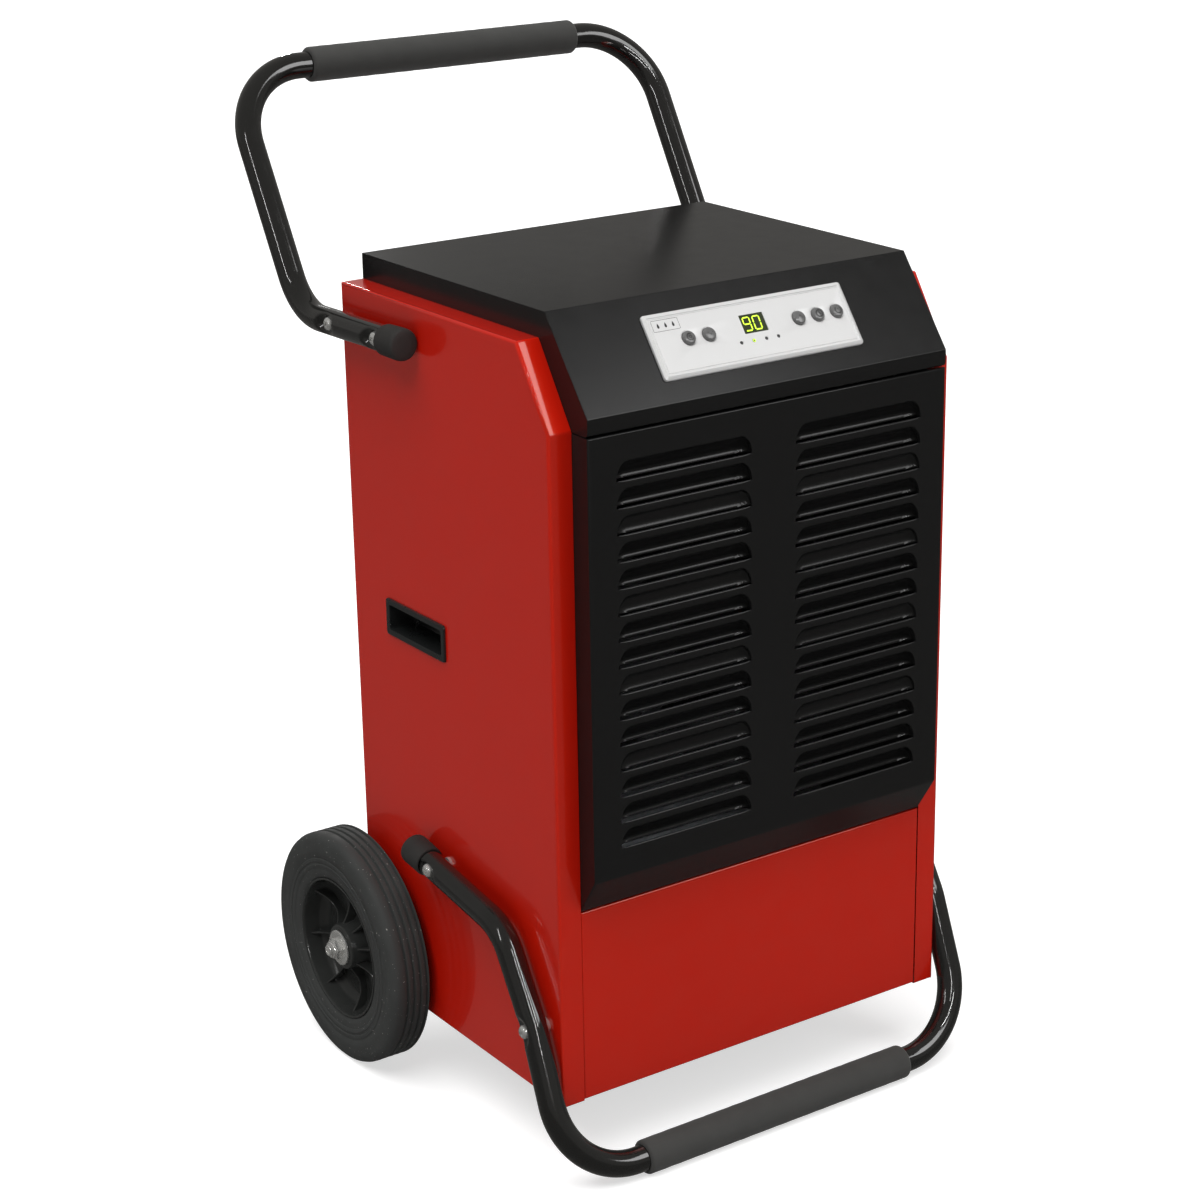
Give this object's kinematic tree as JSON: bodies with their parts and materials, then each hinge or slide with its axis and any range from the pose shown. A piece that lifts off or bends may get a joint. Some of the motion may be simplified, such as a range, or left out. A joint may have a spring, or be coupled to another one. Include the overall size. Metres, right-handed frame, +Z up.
{
  "type": "portable dehumidifier",
  "caption": "Upright wheeled dehumidifier for building sites, with a red steel case, black louvred front, slanting control panel, looped push handle and foot bar.",
  "frame": {"origin": "centre of the footprint, on the floor that the wheels and the foot bar stand on", "axes": "+Z up; -Y is the louvred front; +X points to the machine's own left; the wheels turn about X"},
  "size_m": [0.556, 0.58, 0.977],
  "materials": {
    "red_paint": "gloss red powder coat",
    "black_paint": "satin black powder coat",
    "tube_paint": "gloss black powder coat on bent tube",
    "galvanised_steel": "galvanised sheet",
    "silver_plastic": "satin silver printed panel",
    "display_plastic": "tinted gloss display window",
    "lamp_plastic": "small lamp lenses",
    "button_plastic": "soft dark grey key caps",
    "circuit_board": "circuit board",
    "grey_plastic": "moulded grey plastic",
    "aluminium_can": "drawn can",
    "black_plastic": "moulded black plastic",
    "grip_foam": "closed cell foam sleeve",
    "cap_rubber": "moulded rubber",
    "zinc_steel": "bright zinc plate",
    "rim_plastic": "gloss black moulded rim",
    "tyre_rubber": "black ribbed rubber",
    "bush_steel": "turned steel",
    "compressor_paint": "black enamel",
    "fin_aluminium": "thin fins on copper tube",
    "motor_paint": "grey enamel",
    "fan_plastic": "moulded fan",
    "copper": "drawn copper tube",
    "filter_mesh": "woven nylon mesh"
  },
  "bodies": {
    "housing": {"axle": "zinc_steel", "axle_brackets": "galvanised_steel", "axle_nuts": "zinc_steel", "axle_washers": "zinc_steel", "base_pan": "galvanised_steel", "cable_gland": "black_plastic", "compressor": "compressor_paint", "compressor_feet": "cap_rubber", "condensate_pump": "black_plastic", "condensate_tank": "grey_plastic", "condenser_coil": "fin_aluminium", "control_bezel": "silver_plastic", "control_board": "circuit_board", "display_window": "display_plastic", "drain_spigot": "grey_plastic", "drip_tray": "galvanised_steel", "electrical_box": "grey_plastic", "evaporator_coil": "fin_aluminium", "fan_motor": "motor_paint", "fan_shroud": "galvanised_steel", "filter_drier": "copper", "foot_bar": "tube_paint", "foot_bar_bolts": "zinc_steel", "foot_bar_end_caps": "cap_rubber", "foot_bar_grip": "grip_foam", "front_grille": "black_paint", "front_lower_panel": "red_paint", "indicator_lamps": "lamp_plastic", "motor_bracket": "galvanised_steel", "panel_screws": "zinc_steel", "partition_shelf": "galvanised_steel", "push_handle": "tube_paint", "push_handle_bolts": "zinc_steel", "push_handle_end_caps": "cap_rubber", "push_handle_grip": "grip_foam", "rear_panel": "red_paint", "refrigerant_pipes": "copper", "run_capacitor": "aluminium_can", "side_grip_left": "black_plastic", "side_grip_right": "black_plastic", "side_panel_left": "red_paint", "side_panel_right": "red_paint", "top_cover": "black_paint"},
    "wheel_left": {"wheel_rim_left": "rim_plastic", "tyre_left": "tyre_rubber", "hub_bush_left": "bush_steel"},
    "wheel_right": {"wheel_rim_right": "rim_plastic", "tyre_right": "tyre_rubber", "hub_bush_right": "bush_steel"},
    "fan": {"fan_blade": "fan_plastic", "fan_shaft": "bush_steel"},
    "float": {"float_switch": "grey_plastic"},
    "air_filter": {"air_filter_frame": "black_plastic", "air_filter_mesh": "filter_mesh"},
    "button_cycle": {"button_cycle": "button_plastic"},
    "button_down": {"button_down": "button_plastic"},
    "button_up": {"button_up": "button_plastic"},
    "button_timer": {"button_timer": "button_plastic"},
    "button_power": {"button_power": "button_plastic"}
  },
  "joints": [
    {"name": "wheel_left_spin", "type": "hinge", "parent": "housing", "child": "wheel_left", "pos_m": [0.24875, 0.0935, 0.118], "axis": [1, 0, 0], "continuous": true},
    {"name": "wheel_right_spin", "type": "hinge", "parent": "housing", "child": "wheel_right", "pos_m": [-0.24875, 0.0935, 0.118], "axis": [1, 0, 0], "continuous": true},
    {"name": "fan_spin", "type": "hinge", "parent": "housing", "child": "fan", "pos_m": [0, -0.116, 0.505], "axis": [0, 1, 0], "continuous": true},
    {"name": "float_lift", "type": "hinge", "parent": "housing", "child": "float", "pos_m": [-0.06, -0.1, 0.175], "axis": [0, 1, 0], "range_deg": [0, 15]},
    {"name": "filter_slide", "type": "slide", "parent": "housing", "child": "air_filter", "axis": [0, 0, 1], "range_m": [0, 0.36]},
    {"name": "button_cycle_press", "type": "slide", "parent": "housing", "child": "button_cycle", "axis": [0, 0.7991, -0.6013], "range_m": [0, 0.0008], "stiffness_N_per_m": 600},
    {"name": "button_down_press", "type": "slide", "parent": "housing", "child": "button_down", "axis": [0, 0.7991, -0.6013], "range_m": [0, 0.0008], "stiffness_N_per_m": 600},
    {"name": "button_up_press", "type": "slide", "parent": "housing", "child": "button_up", "axis": [0, 0.7991, -0.6013], "range_m": [0, 0.0008], "stiffness_N_per_m": 600},
    {"name": "button_timer_press", "type": "slide", "parent": "housing", "child": "button_timer", "axis": [0, 0.7991, -0.6013], "range_m": [0, 0.0008], "stiffness_N_per_m": 600},
    {"name": "button_power_press", "type": "slide", "parent": "housing", "child": "button_power", "axis": [0, 0.7991, -0.6013], "range_m": [0, 0.0008], "stiffness_N_per_m": 600}
  ]
}
